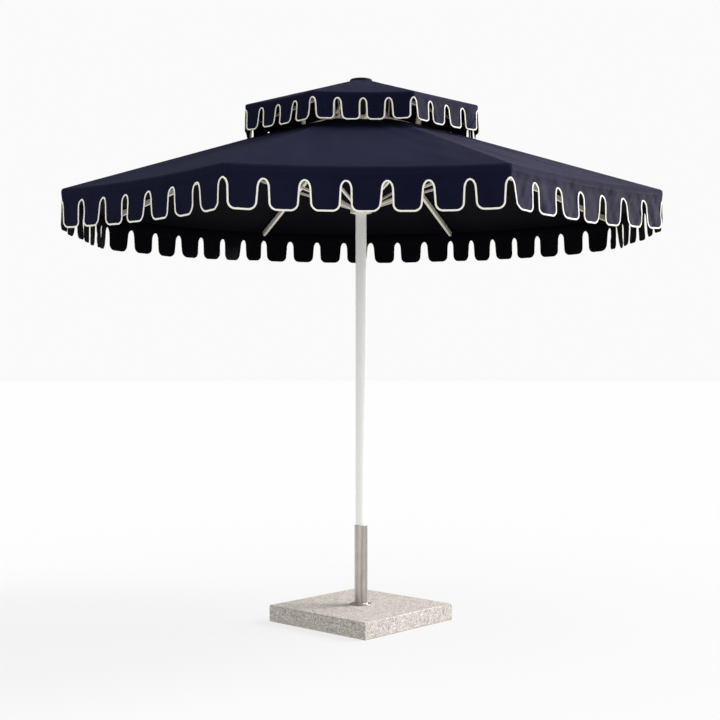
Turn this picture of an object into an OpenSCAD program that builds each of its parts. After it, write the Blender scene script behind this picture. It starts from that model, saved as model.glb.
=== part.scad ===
// Two-tier garden umbrella with eight ribs, standing in a square granite base.
// Millimetres, +Z up. The origin is the centre of the slab's underside, on the pole's axis.
// One side of the canopy faces -Y. The runner slides down the pole to fold the canopy.

/* [Base] */
// Side of the square slab
slab_side = 595; // [450:1:750]
// Thickness of the slab
slab_thick = 76; // [55:1:110]
// Turn of the slab about the pole, in degrees
slab_turn = 46.6; // [0:0.1:90]
// Width of the bevel along the slab's edges
slab_bevel = 3; // [1:0.5:8]
// Diameter of the round flange plate on the slab
flange_dia = 100; // [84:1:160]
// Thickness of the flange plate
flange_thick = 4; // [3:0.5:8]
// Length of the upright steel sleeve above the flange plate
sleeve_len = 361; // [240:1:480]
// Wall of the steel sleeve
sleeve_wall = 2; // [1.5:0.1:3]
// Wall of the plastic liner between the sleeve and the pole
liner_wall = 2.95; // [2:0.05:5]
// Step from the sleeve's rim down to the liner's rim
liner_step = 2; // [1:0.5:6]
// Diameter of the bolt that holds the flange plate to the slab
base_bolt_dia = 12; // [8:1:16]

/* [Pole] */
// Outside diameter of the pole
pole_dia = 50; // [38:1:62]
// Wall of the pole
pole_wall = 1.8; // [1.2:0.1:3]
// Thickness of the foot cup under the pole
foot_thick = 6; // [4:0.5:12]
// Height of the foot cup's spigot inside the pole
foot_spigot = 24; // [12:1:50]

/* [Main canopy] */
// Distance from the pole's axis to an eave corner
canopy_radius = 1372; // [1100:1:1700]
// Height of the eave corners above the ground
eave_height = 1916; // [1750:1:2320]
// Rise from the eave corners to the point where the panels would meet
canopy_rise = 446; // [365:1:540]
// Corner radius of the vent opening under the top canopy
vent_radius = 330; // [326:1:420]
// Depth of the hanging valance
valance_drop = 165; // [130:1:210]
// Depth of the valance's unbroken band, above its tabs
valance_band = 54; // [35:1:80]
// Tabs along each side
valance_tabs = 7; // [5:1:9]
// Gap between two tabs
tab_gap = 40; // [20:1:60]
// Radius of a tab's lower corners
tab_round = 28; // [10:1:40]
// Thickness of the cloth
cloth_thick = 1.2; // [0.8:0.1:2]

/* [Top canopy] */
// Distance from the pole's axis to an eave corner of the top canopy
top_radius = 562; // [460:1:680]
// Height of the top canopy's peak above the main canopy's
top_lift = 135; // [125:1:170]
// How much flatter the top canopy is than the main one, in degrees
top_ease = 1.8; // [0.5:0.1:2.5]
// Depth of the top canopy's valance
top_valance_drop = 117; // [90:1:125]
// Depth of the unbroken band of that valance
top_band = 28; // [18:1:45]
// Tabs along each side of the top canopy
top_tabs = 4; // [3:1:6]
// Gap between two of those tabs
top_tab_gap = 27; // [14:1:40]
// Radius of those tabs' lower corners
top_tab_round = 20; // [8:1:30]
// Corner radius of the hole at the peak, under the cap
top_opening = 38; // [34:1:46]
// Radius of the cap
cap_radius = 51.5; // [44:0.5:65]
// Height of the cap above the cloth
cap_rise = 9; // [8:0.5:24]

/* [Ribs] */
// Width of a main rib
rib_w = 16; // [13:0.5:22]
// Height of a main rib
rib_h = 25; // [20:0.5:32]
// Wall of the rib, strut and top rib tubes
tube_wall = 1.5; // [1:0.1:2]
// Rounding of a main rib's long edges
rib_round = 3; // [2:0.5:5]
// Drop from a main rib's centreline to its two pivots
rib_drop = 22; // [19:0.5:30]
// Width of a top rib
top_rib_w = 12; // [10:0.5:16]
// Height of a top rib
top_rib_h = 14; // [11:0.5:18]
// Drop from a top rib's centreline to its pivot
top_rib_drop = 6; // [4:0.5:7]
// Distance from the pole's axis to where a prop holds a top rib
prop_reach = 304; // [240:1:320]
// Width of a prop's flat bars
prop_w = 12; // [9:0.5:12.5]

/* [Struts and runner] */
// Distance between a strut's two pivots, the same as from the hub to the strut's bracket
strut_len = 660; // [520:1:760]
// Width and height of a strut
strut_w = 12; // [10:0.5:16]
// Angle that the ribs fold through, in degrees
fold_angle = 63; // [45:0.5:64]
// Thickness of the runner's wall around the pole
runner_wall = 8; // [6:0.5:12]
// Height of the runner's slotted crown
crown_height = 34; // [30:1:44]
// Height of the runner's collar above its crown
collar_height = 72; // [56:1:110]
// Diameter of the release button
button_dia = 14; // [10:0.5:18]
// Travel of the release button
button_travel = 3; // [2:0.5:4]

/* [Fits] */
// Diameter of the strut and prop pins
pin_dia = 5; // [4:0.5:6]
// Diameter of the hub and crown pins
hub_pin_dia = 4; // [3:0.5:5]
// Radial clearance of a pin in its hole
pin_play = 0.06; // [0.02:0.01:0.1]
// Radial clearance of the pole in the liner and of the spigot in the pole
pole_play = 0.05; // [0.02:0.01:0.1]
// Radial clearance of the runner on the pole
runner_play = 0.08; // [0.02:0.01:0.1]
// Clearance on each side of a part that swings in a slot
side_play = 0.4; // [0.2:0.1:1]

/* [Hidden] */
SIDES = 8;
$fn = 64;
HALF_SIDE = 180 / SIDES;
EPS = 0.01;
THROUGH = 100;

// Colours of the parts
navy = [0.13, 0.14, 0.24];
dark_cap = [0.07, 0.08, 0.12];
cream_metal = [0.82, 0.79, 0.73];
steel = [0.75, 0.75, 0.76];
zinc = [0.6, 0.6, 0.62];
granite = [0.5, 0.49, 0.48];
white_plastic = [0.85, 0.84, 0.8];
black_plastic = [0.12, 0.12, 0.12];

// Base stack, from the ground up
flange_top = slab_thick + flange_thick;
pole_r = pole_dia / 2;
pole_bore = pole_r - pole_wall;
pole_bottom = flange_top + foot_thick;
liner_bore = pole_r + pole_play;
liner_r = liner_bore + liner_wall;
sleeve_r = liner_r + sleeve_wall;
bolt_head_af = base_bolt_dia * 1.6;
bolt_head_h = base_bolt_dia * 0.62;
washer_r = base_bolt_dia * 1.3;
washer_thick = 3;
bolt_pocket_depth = bolt_head_h + washer_thick + 5;
bolt_pocket_r = washer_r + 2;

// Slopes. A hip is the line over a rib, where two panels meet
main_slope = atan(canopy_rise / canopy_radius);
top_slope = main_slope - top_ease;
main_peak = eave_height + canopy_rise;
top_peak = main_peak + top_lift;
top_eave = top_peak - top_radius * tan(top_slope);
function main_hip(r) = main_peak - r * tan(main_slope);
function top_hip(r) = top_peak - r * tan(top_slope);
// Height of the cloth's underside in the middle of a side, the lowest place at radius r
function top_underside(r) = top_hip(r / cos(HALF_SIDE)) - cloth_thick / cos(top_slope);
function azimuth(k) = HALF_SIDE + (k - 1) * 360 / SIDES;

// Pivots of the fold, as radius and height in the plane of one rib
rib_clear = 1.3;
strut_clear = 3.5;
crown_step = 26;
top_rib_clear = 1;
eye_r = strut_w / 2 + 0.5;
hub_eye_r = 8;
top_eye_r = 6.5;
slot_room = 2;
runner_r = pole_r + runner_wall;
pivot_r = runner_r + eye_r + strut_clear;
rib_below = rib_h / 2 + cloth_thick + rib_clear;
hub_z = main_hip(pivot_r) - (rib_below + rib_drop) / cos(main_slope);
runner_z = hub_z - 2 * strut_len * sin(main_slope);
crown_pivot_r = pivot_r + crown_step;
top_rib_below = top_rib_h / 2 + cloth_thick + top_rib_clear;
crown_z = top_hip(crown_pivot_r) - (top_rib_below + top_rib_drop) / cos(top_slope);
prop_top_z = top_hip(prop_reach) - top_rib_below / cos(top_slope);
prop_foot_r = prop_reach - (crown_pivot_r - pivot_r);
prop_foot_z = prop_top_z - (crown_z - hub_z);

// Rib frame: x runs out along the rib from its pivot, z is square to it and points up
function along(r, z, r0, z0, slope) = (r - r0) * cos(slope) - (z - z0) * sin(slope);
function above(r, z, r0, z0, slope) = (r - r0) * sin(slope) + (z - z0) * cos(slope);
tip_gap = 6;
tip_len = 9;
rib_end_rise = (rib_drop + rib_h / 2) * sin(main_slope);
rib_end = (canopy_radius - tip_gap - pivot_r - rib_end_rise) / cos(main_slope);
top_end_rise = (top_rib_drop + top_rib_h / 2) * sin(top_slope);
top_rib_end = (top_radius - tip_gap - crown_pivot_r - top_end_rise) / cos(top_slope);
plug_play = 0.5;
tongue_w = rib_w - 2 * tube_wall - 2 * plug_play;
top_tongue_w = top_rib_w - 2 * tube_wall - 2 * plug_play;
plug_len = 36;
rib_start = 22;
top_rib_start = 17;

// Hubs
hub_r = pivot_r + 7;
hub_above = 12;
hub_below = 13;
hub_collar = 22;
hub_collar_wall = 5;
pin_grip = 3.6;
crown_r = crown_pivot_r + 7;
crown_below = 9;
crown_top = top_underside(crown_r) - 0.5;
crown_web = crown_pivot_r - top_eye_r - slot_room;
boss_r = top_opening * cos(HALF_SIDE) - 1;
seat_gap = 0.05;
cap_z = top_hip(top_opening) + 0.3;
pole_top = crown_z + 1;
cap_screw_r = 3;
cap_screw_head_r = 7.5;
cap_screw_head_h = 2.6;

// Runner
runner_crown_r = pivot_r + 6;
crown_over = 12;
runner_bottom = runner_z + crown_over - crown_height;
runner_top = runner_z + crown_over + collar_height;
cross_pin_len = strut_w + 8;
button_r = button_dia / 2;
button_rise = 34;
button_z = runner_z + crown_over + button_rise;
button_boss_r = button_r + 5;
button_boss_y = runner_r + 3.5;
pocket_y = pole_r + runner_play + 2.4;
button_flange = 1.4;
button_flange_r = button_r + 1.6;
button_back_y = pocket_y + button_travel + 0.6;
pocket_end_y = button_back_y + button_flange + 0.1;

// ---- Shapes that repeat ----

// A rectangle with round corners, centred
module rounded_rectangle(w, h, r) {
    square([w - 2 * r, h], center = true);
    square([w, h - 2 * r], center = true);
    for (x = [-1, 1])
        for (y = [-1, 1])
            translate([x * (w / 2 - r), y * (h / 2 - r)]) circle(r);
}

// Extrudes a cross-section (across, up) along +X from x0 to x1
module along_x(x0, x1) {
    translate([x0, 0, 0]) rotate([90, 0, 90]) linear_extrude(x1 - x0) children();
}

// Extrudes a side outline (x, z) symmetrically to a width across Y
module across_y(width) {
    translate([0, width / 2, 0]) rotate([90, 0, 0]) linear_extrude(width) children();
}

// A round bar across Y at x, z
module cross_pin(x, z, r, length) {
    translate([x, length / 2, z]) rotate([90, 0, 0]) cylinder(r = r, h = length);
}

// Puts its children in each rib's plane
module at_ribs() {
    for (k = [1:SIDES]) rotate([0, 0, azimuth(k)]) children();
}

// Puts its children in the frame of a rib that pivots at (r, z)
module rib_frame(k, r, z, slope) {
    rotate([0, 0, azimuth(k)]) translate([r, 0, z]) rotate([0, slope, 0]) children();
}

// A hollow tube with round edges, from x0 to x1, its centreline at height z
module tube_bar(x0, x1, z, w, h, r) {
    difference() {
        translate([0, 0, z]) along_x(x0, x1) rounded_rectangle(w, h, r);
        translate([0, 0, z]) along_x(x0 - 1, x1 + 1)
            square([w - 2 * tube_wall, h - 2 * tube_wall], center = true);
    }
}

// Side outline of a rib's inner end: an eye at the pivot and a plug in the tube
module tongue_outline(eye, start, drop, plug_h) {
    circle(eye);
    polygon([
        [0, -eye], [start, drop - plug_h / 2], [start + plug_len, drop - plug_h / 2],
        [start + plug_len, drop + plug_h / 2], [start, drop + plug_h / 2], [0, eye]
    ]);
}

// A ring for the swinging eyes: full discs with a slot at each rib
module slotted_disc(r, z0, z1, web, slot_w) {
    difference() {
        translate([0, 0, z0]) cylinder(r = r, h = z1 - z0);
        at_ribs() translate([web, -slot_w / 2, z0 - 1]) cube([r, slot_w, z1 - z0 + 2]);
    }
}

// One hanging tab with round lower corners, its top edge centred on the origin
module tab_outline(w, h, r) {
    translate([-w / 2, -h + r]) square([w, h - r]);
    translate([-w / 2 + r, -h]) square([w - 2 * r, r + EPS]);
    for (x = [-1, 1]) translate([x * (w / 2 - r), -h + r]) circle(r);
}

// A canopy: eight flat panels, a band that hangs from the eave, and the tabs below it
module canopy_shell(radius, eave, opening, slope, drop, band, tabs, gap, round_r) {
    rise = (radius - opening) * tan(slope);
    deep = cloth_thick / cos(slope);
    apothem = radius * cos(HALF_SIDE);
    side = 2 * radius * sin(HALF_SIDE);
    pitch = side / tabs;
    hang = cloth_thick * cos(HALF_SIDE);
    rotate([0, 0, HALF_SIDE]) rotate_extrude($fn = SIDES) polygon([
        [opening, eave + rise], [radius, eave], [radius, eave - band],
        [radius - cloth_thick, eave - band], [radius - cloth_thick, eave - deep],
        [opening, eave + rise - deep]
    ]);
    for (s = [0:SIDES - 1])
        rotate([0, 0, s * 360 / SIDES])
            for (i = [0:tabs - 1])
                translate([apothem - hang, (i - (tabs - 1) / 2) * pitch, eave - band + EPS])
                    rotate([90, 0, 90]) linear_extrude(hang)
                        tab_outline(pitch - gap, drop - band + EPS, round_r);
}

// ---- Base ----

module granite_slab() {
    face_side = slab_side - 2 * slab_bevel;
    color(granite) rotate([0, 0, slab_turn]) difference() {
        hull() {
            translate([0, 0, slab_thick / 2])
                cube([slab_side, slab_side, slab_thick - 2 * slab_bevel], center = true);
            translate([0, 0, slab_thick / 2])
                cube([face_side, face_side, slab_thick], center = true);
        }
        translate([0, 0, -1]) cylinder(d = base_bolt_dia, h = slab_thick + 2);
        translate([0, 0, -1]) cylinder(r = bolt_pocket_r, h = bolt_pocket_depth + 1);
    }
}

module flange_plate() {
    color(steel) translate([0, 0, slab_thick]) difference() {
        union() {
            cylinder(d = flange_dia, h = flange_thick - 1);
            translate([0, 0, flange_thick - 1])
                cylinder(d1 = flange_dia, d2 = flange_dia - 2, h = 1);
        }
        translate([0, 0, -1]) cylinder(d = base_bolt_dia, h = flange_thick + 2);
    }
}

module base_bolt() {
    head_z = bolt_pocket_depth - washer_thick - bolt_head_h;
    color(zinc) {
        translate([0, 0, head_z]) cylinder(r = bolt_head_af / 2 / cos(30), h = bolt_head_h, $fn = 6);
        translate([0, 0, head_z]) cylinder(d = base_bolt_dia, h = flange_top - head_z - 0.5);
    }
}

module base_washer() {
    color(zinc) translate([0, 0, bolt_pocket_depth - washer_thick]) difference() {
        cylinder(r = washer_r, h = washer_thick);
        translate([0, 0, -1]) cylinder(d = base_bolt_dia, h = washer_thick + 2);
    }
}

module ground_sleeve() {
    color(steel) translate([0, 0, flange_top]) rotate_extrude() polygon([
        [liner_r, 0], [sleeve_r, 0], [sleeve_r, sleeve_len - 0.6],
        [sleeve_r - 0.6, sleeve_len], [liner_r + 0.4, sleeve_len], [liner_r, sleeve_len - 0.4]
    ]);
}

module sleeve_liner() {
    length = sleeve_len - liner_step;
    color(white_plastic) translate([0, 0, flange_top]) rotate_extrude() polygon([
        [liner_bore, 0], [liner_r, 0], [liner_r, length],
        [liner_bore + 1, length], [liner_bore, length - 1]
    ]);
}

// ---- Pole ----

module foot_cup() {
    color(black_plastic) {
        translate([0, 0, flange_top]) cylinder(r = pole_r, h = foot_thick);
        translate([0, 0, pole_bottom - EPS])
            cylinder(r = pole_bore - pole_play, h = foot_spigot + EPS);
    }
}

module pole_tube() {
    color(white_plastic) difference() {
        translate([0, 0, pole_bottom]) cylinder(r = pole_r, h = pole_top - pole_bottom);
        translate([0, 0, pole_bottom - 1]) cylinder(r = pole_bore, h = pole_top - pole_bottom + 2);
    }
}

module lower_hub() {
    color(cream_metal) difference() {
        union() {
            slotted_disc(hub_r, hub_z - hub_below, hub_z + hub_above,
                pivot_r - hub_eye_r - slot_room, tongue_w + 2 * side_play);
            translate([0, 0, hub_z - hub_below - hub_collar])
                cylinder(r = pole_r + hub_collar_wall, h = hub_collar + EPS);
        }
        translate([0, 0, hub_z - THROUGH]) cylinder(r = pole_r, h = 2 * THROUGH);
        at_ribs() cross_pin(pivot_r, hub_z, hub_pin_dia / 2, tongue_w + 2 * (side_play + pin_grip));
    }
}

module hub_pins() {
    color(zinc) at_ribs()
        cross_pin(pivot_r, hub_z, hub_pin_dia / 2, tongue_w + 2 * (side_play + pin_grip));
}

module upper_crown() {
    color(cream_metal) difference() {
        union() {
            slotted_disc(crown_r, crown_z - crown_below, crown_top, crown_web,
                top_tongue_w + 2 * side_play);
            translate([0, 0, crown_top - EPS])
                cylinder(r = boss_r, h = cap_z - seat_gap - crown_top + EPS);
        }
        translate([0, 0, crown_z - crown_below - 1])
            cylinder(r = pole_r, h = pole_top - crown_z + crown_below + 1);
        translate([0, 0, crown_z]) cylinder(r = cap_screw_r, h = THROUGH);
        at_ribs() cross_pin(crown_pivot_r, crown_z, hub_pin_dia / 2,
            top_tongue_w + 2 * (side_play + pin_grip));
    }
}

module crown_pins() {
    color(zinc) at_ribs() cross_pin(crown_pivot_r, crown_z, hub_pin_dia / 2,
        top_tongue_w + 2 * (side_play + pin_grip));
}

module cap() {
    lip = 4;
    corner = 5.5;
    lip_z = top_hip(cap_radius - lip) + 0.4 - cap_z;
    color(dark_cap) translate([0, 0, cap_z]) difference() {
        rotate_extrude() union() {
            polygon([
                [0, 0], [cap_radius - lip, 0], [cap_radius - lip, lip_z],
                [cap_radius, lip_z], [cap_radius, cap_rise - corner],
                [cap_radius - corner, cap_rise - corner], [cap_radius - corner, cap_rise], [0, cap_rise]
            ]);
            intersection() {
                translate([cap_radius - corner, cap_rise - corner]) circle(corner);
                square([cap_radius, cap_rise]);
            }
        }
        translate([0, 0, -1]) cylinder(r = cap_screw_r, h = cap_rise + 2);
        translate([0, 0, cap_rise - cap_screw_head_h - 0.6])
            cylinder(r = cap_screw_head_r + 0.5, h = cap_screw_head_h + 1.6);
    }
}

module cap_screw() {
    head_z = cap_z + cap_rise - cap_screw_head_h - 0.6;
    color(zinc) {
        translate([0, 0, head_z])
            cylinder(r1 = cap_screw_head_r, r2 = cap_screw_head_r - 1.5, h = cap_screw_head_h);
        translate([0, 0, cap_z - 8]) cylinder(r = cap_screw_r, h = head_z - cap_z + 8 + EPS);
    }
}

// ---- Cloth ----

module canopy_main() {
    color(navy) canopy_shell(canopy_radius, eave_height, vent_radius, main_slope,
        valance_drop, valance_band, valance_tabs, tab_gap, tab_round);
}

module canopy_top() {
    color(navy) canopy_shell(top_radius, top_eave, top_opening, top_slope,
        top_valance_drop, top_band, top_tabs, top_tab_gap, top_tab_round);
}

// ---- Ribs ----

// A main rib: tube, inner tongue, outer tip and the strut's bracket with its pin
module rib(k) {
    foot_x = along(prop_foot_r, prop_foot_z, pivot_r, hub_z, main_slope);
    foot_y = above(prop_foot_r, prop_foot_z, pivot_r, hub_z, main_slope);
    ear_in = strut_w + 2 * side_play;
    ear_thick = 2;
    ear_r = 8;
    rib_bottom = rib_drop - rib_h / 2;
    base_t = 1.5;
    color(cream_metal) rib_frame(k, pivot_r, hub_z, main_slope) {
        difference() {
            tube_bar(rib_start, rib_end - tip_len, rib_drop, rib_w, rib_h, rib_round);
            cross_pin(foot_x, foot_y, pin_dia / 2 + pin_play, rib_w + 2);
        }
        difference() {
            across_y(tongue_w) tongue_outline(hub_eye_r, rib_start, rib_drop, rib_h - 2 * tube_wall);
            cross_pin(0, 0, hub_pin_dia / 2 + pin_play, tongue_w + 2);
        }
        translate([0, 0, rib_drop]) {
            along_x(rib_end - tip_len, rib_end - 3) rounded_rectangle(rib_w, rib_h, rib_round);
            along_x(rib_end - 3, rib_end) rounded_rectangle(rib_w - 4, rib_h - 4, rib_round);
            along_x(rib_end - tip_len - plug_len / 2, rib_end - tip_len)
                square([tongue_w, rib_h - 2 * tube_wall], center = true);
        }
        difference() {
            across_y(ear_in + 2 * ear_thick) {
                translate([strut_len, 0]) circle(ear_r);
                translate([strut_len - ear_r, 0]) square([2 * ear_r, rib_bottom]);
                translate([strut_len - 2 * ear_r, rib_bottom - base_t]) square([4 * ear_r, base_t]);
            }
            across_y(ear_in) translate([strut_len - 3 * ear_r, -2 * ear_r])
                square([6 * ear_r, 2 * ear_r + rib_bottom - base_t]);
        }
        cross_pin(strut_len, 0, pin_dia / 2, ear_in + 2 * ear_thick + 2);
    }
}

// A strut, from its bracket on the rib down to the runner
module strut(k) {
    bracket_r = pivot_r + strut_len * cos(main_slope);
    end_len = 15;
    color(cream_metal) rib_frame(k, pivot_r, runner_z, -main_slope) {
        tube_bar(end_len, strut_len - end_len, 0, strut_w, strut_w, 2.5);
        for (end = [0, 1]) difference() {
            across_y(strut_w) {
                translate([end * strut_len, 0]) circle(eye_r);
                translate([end == 0 ? 0 : strut_len - end_len, -strut_w / 2])
                    square([end_len, strut_w]);
            }
            if (end == 1) cross_pin(strut_len, 0, pin_dia / 2 + pin_play, strut_w + 2);
        }
        for (x = [end_len, strut_len - end_len - plug_len / 2])
            along_x(x, x + plug_len / 2)
                square([strut_w - 2 * tube_wall, strut_w - 2 * tube_wall], center = true);
        for (side = [-1, 1])
            translate([0, side * (strut_w / 2 + cross_pin_len / 2) / 2, 0])
                cross_pin(0, 0, pin_dia / 2, (cross_pin_len - strut_w) / 2);
    }
}

// A short rib of the top canopy, pivoting on the upper crown
module top_rib(k) {
    hold_x = along(prop_reach, prop_top_z, crown_pivot_r, crown_z, top_slope);
    color(cream_metal) rib_frame(k, crown_pivot_r, crown_z, top_slope) {
        difference() {
            tube_bar(top_rib_start, top_rib_end - tip_len, top_rib_drop, top_rib_w, top_rib_h, 2.5);
            cross_pin(hold_x, top_rib_drop, pin_dia / 2 + pin_play, top_rib_w + 2);
        }
        difference() {
            across_y(top_tongue_w)
                tongue_outline(top_eye_r, top_rib_start, top_rib_drop, top_rib_h - 2 * tube_wall);
            cross_pin(0, 0, hub_pin_dia / 2 + pin_play, top_tongue_w + 2);
        }
        translate([0, 0, top_rib_drop]) {
            along_x(top_rib_end - tip_len, top_rib_end - 2)
                rounded_rectangle(top_rib_w, top_rib_h, 2.5);
            along_x(top_rib_end - 2, top_rib_end) rounded_rectangle(top_rib_w - 3, top_rib_h - 3, 2.5);
            along_x(top_rib_end - tip_len - plug_len / 2, top_rib_end - tip_len)
                square([top_tongue_w, top_rib_h - 2 * tube_wall], center = true);
        }
    }
}

// A prop: two flat bars on both sides of a main rib, with a pin at each end
module prop(k) {
    bar_t = 2;
    inner = rib_w + 1;
    outer = inner + 2 * bar_t;
    lean = atan((prop_reach - prop_foot_r) / (prop_top_z - prop_foot_z));
    length = (prop_top_z - prop_foot_z) / cos(lean);
    spacer = (inner - top_rib_w) / 2 - side_play;
    spacer_r = pin_dia / 2 + 2.5;
    color(cream_metal) rib_frame(k, prop_foot_r, prop_foot_z, lean) {
        for (side = [-1, 1]) translate([0, side * (inner + bar_t) / 2, 0]) across_y(bar_t) {
            translate([-prop_w / 2, 0]) square([prop_w, length]);
            circle(prop_w / 2);
            translate([0, length]) circle(prop_w / 2);
        }
        cross_pin(0, 0, pin_dia / 2, outer + 3);
        cross_pin(0, length, pin_dia / 2, outer + 3);
        for (side = [-1, 1])
            translate([0, side * (inner - spacer) / 2, 0])
                cross_pin(0, length, spacer_r, spacer);
    }
}

// ---- Runner ----

// The runner: a slotted crown for the struts and a collar with a button boss.
// Each strut's cross pin sits in a groove that is open below
module runner_body() {
    slot_w = strut_w + 2 * side_play;
    groove_w = pin_dia + 0.3;
    groove_len = cross_pin_len + 2 * side_play;
    color(white_plastic) difference() {
        union() {
            slotted_disc(runner_crown_r, runner_bottom, runner_z + crown_over, runner_r + 0.5, slot_w);
            translate([0, 0, runner_bottom]) cylinder(r = runner_r, h = runner_top - runner_bottom);
            translate([0, 0, button_z]) rotate([-90, 0, 0])
                cylinder(r = button_boss_r, h = button_boss_y);
        }
        translate([0, 0, runner_bottom - 1])
            cylinder(r = pole_r + runner_play, h = runner_top - runner_bottom + 2);
        at_ribs() {
            cross_pin(pivot_r, runner_z, groove_w / 2, groove_len);
            translate([pivot_r - groove_w / 2, -groove_len / 2, runner_bottom - 1])
                cube([groove_w, groove_len, runner_z - runner_bottom + 1]);
        }
        translate([0, pocket_y, button_z]) rotate([-90, 0, 0])
            cylinder(r = button_flange_r + 0.2, h = pocket_end_y - pocket_y);
        translate([0, pocket_y, button_z]) rotate([-90, 0, 0])
            cylinder(r = button_r + 0.1, h = button_boss_y - pocket_y + 1);
    }
}

module runner_button() {
    color(dark_cap) translate([0, button_back_y, button_z]) rotate([-90, 0, 0]) {
        cylinder(r = button_flange_r, h = button_flange);
        cylinder(r = button_r, h = button_boss_y - button_back_y + button_travel + 0.5);
    }
}

module button_spring() {
    color(zinc) translate([0, pocket_y, button_z]) rotate([-90, 0, 0]) difference() {
        cylinder(r = button_r - 1, h = button_back_y - pocket_y);
        translate([0, 0, -1]) cylinder(r = button_r - 2.4, h = button_back_y - pocket_y + 2);
    }
}

granite_slab();
flange_plate();
base_bolt();
base_washer();
ground_sleeve();
sleeve_liner();
foot_cup();
pole_tube();
lower_hub();
hub_pins();
upper_crown();
crown_pins();
cap();
cap_screw();
canopy_main();
canopy_top();
runner_body();
runner_button();
button_spring();
for (k = [1:SIDES]) rib(k);
for (k = [1:SIDES]) strut(k);
for (k = [1:SIDES]) top_rib(k);
for (k = [1:SIDES]) prop(k);
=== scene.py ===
import logging
import math
from dataclasses import dataclass
from enum import Enum
from typing import Any

import bpy
import numpy as np
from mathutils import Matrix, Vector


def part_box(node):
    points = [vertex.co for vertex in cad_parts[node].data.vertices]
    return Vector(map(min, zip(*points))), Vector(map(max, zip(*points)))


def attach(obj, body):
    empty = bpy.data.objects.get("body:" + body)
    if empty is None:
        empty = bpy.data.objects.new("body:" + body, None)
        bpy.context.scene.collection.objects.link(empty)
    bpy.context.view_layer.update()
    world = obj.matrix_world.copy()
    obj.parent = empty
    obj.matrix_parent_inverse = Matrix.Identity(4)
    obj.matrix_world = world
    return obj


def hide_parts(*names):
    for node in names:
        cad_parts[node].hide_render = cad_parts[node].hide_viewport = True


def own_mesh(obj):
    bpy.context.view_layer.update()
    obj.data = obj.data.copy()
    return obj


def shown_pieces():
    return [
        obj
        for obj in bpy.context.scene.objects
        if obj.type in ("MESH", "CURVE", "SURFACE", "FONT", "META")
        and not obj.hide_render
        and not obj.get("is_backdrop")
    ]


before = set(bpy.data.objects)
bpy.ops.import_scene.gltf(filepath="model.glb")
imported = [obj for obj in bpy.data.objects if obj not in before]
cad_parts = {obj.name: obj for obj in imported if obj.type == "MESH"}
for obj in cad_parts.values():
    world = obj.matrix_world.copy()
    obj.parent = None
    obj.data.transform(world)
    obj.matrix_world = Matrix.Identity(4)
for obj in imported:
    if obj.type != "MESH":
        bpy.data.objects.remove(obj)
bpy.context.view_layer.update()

LOG = logging.getLogger("umbrella")
SIDES = 8
ROUND = 2 * math.pi
QUARTER = math.pi / 2
HALF = math.pi / SIDES
SIDE_TURN = 2 * HALF
# A face whose flat places lie further apart than this, in metres, spans the seam between two sides.
FLAT_TEAR = 0.1
# Slow waves of the cloth: turns across, turns across that fan out, turns down the slope, and size.
BILLOWS = ((1.4, 0.0, 1.7, 1.0), (2.6, 0.0, -2.9, 0.6), (0.0, 3.4, 0.8, 0.5))
Points = np.ndarray
Piece = bpy.types.Object
Material = bpy.types.Material
NodeTree = bpy.types.NodeTree
Node = bpy.types.Node
Socket = bpy.types.NodeSocket
Colour = tuple[float, float, float, float]


# ---- Meshes ----


def smooth_step(x: Points, start: float, end: float) -> Points:
    """Eases from 0 at start to 1 at end: 3h^2 - 2h^3, with h running from 0 to 1 between them.

    Args:
        x: Values to ease.
        start: Where the rise begins.
        end: Where the rise is complete.

    Returns:
        Values from 0 to 1.
    """
    h = np.clip((x - start) / (end - start), 0.0, 1.0)
    return h * h * (3 - 2 * h)


def sheet_faces(index: Points) -> Points:
    """Four-sided faces of a grid of point numbers: each cell joins a point to those below and beside it.

    Args:
        index: Point numbers, by row and column.

    Returns:
        One row of four point numbers for each cell.
    """
    corners = [index[:-1, :-1], index[1:, :-1], index[1:, 1:], index[:-1, 1:]]
    return np.stack([c.ravel() for c in corners], axis=1)


def round_grid(rows: int, cols: int, rows_too: bool = False) -> Points:
    """Point numbers of a grid that runs round: the first column comes again after the last.

    Args:
        rows: Number of rows.
        cols: Number of columns.
        rows_too: Whether the first row comes again after the last too.

    Returns:
        Point numbers, by row and column.
    """
    index = np.arange(rows * cols).reshape(rows, cols)
    index = np.concatenate([index, index[:, :1]], axis=1)
    return np.concatenate([index, index[:1]]) if rows_too else index


def make_piece(name: str, points: Points, faces: list[Any], smooth: bool = True) -> Piece:
    """Makes a mesh object at the origin and puts it in the scene.

    Args:
        name: Name of the piece.
        points: Points in metres.
        faces: Lists of point numbers.
        smooth: Whether its faces are shaded smooth.

    Returns:
        The new object.
    """
    mesh = bpy.data.meshes.new(name)
    mesh.from_pydata(points.tolist(), [], [list(map(int, f)) for f in faces])
    mesh.polygons.foreach_set("use_smooth", np.full(len(mesh.polygons), smooth))
    mesh.update()
    piece = bpy.data.objects.new(name, mesh)
    bpy.context.scene.collection.objects.link(piece)
    return piece


def put_uv(piece: Piece, flat: Points) -> None:
    """Gives each corner of a mesh the flat place of its point.

    Args:
        piece: The mesh object.
        flat: (u, v) in metres for each point.
    """
    mesh = piece.data
    corner = np.empty(len(mesh.loops), np.int32)
    mesh.loops.foreach_get("vertex_index", corner)
    spread = flat[corner]
    if len(corner) == 4 * len(mesh.polygons):
        faces = spread.reshape(-1, 4, 2)
        torn = np.ptp(faces[:, :, 0], axis=1) > FLAT_TEAR
        faces[torn, :, 0] = -np.abs(faces[torn, :, 0])
    layer = mesh.uv_layers.new(name="Cloth")
    layer.data.foreach_set("uv", spread.astype(np.float32).ravel())


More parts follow.
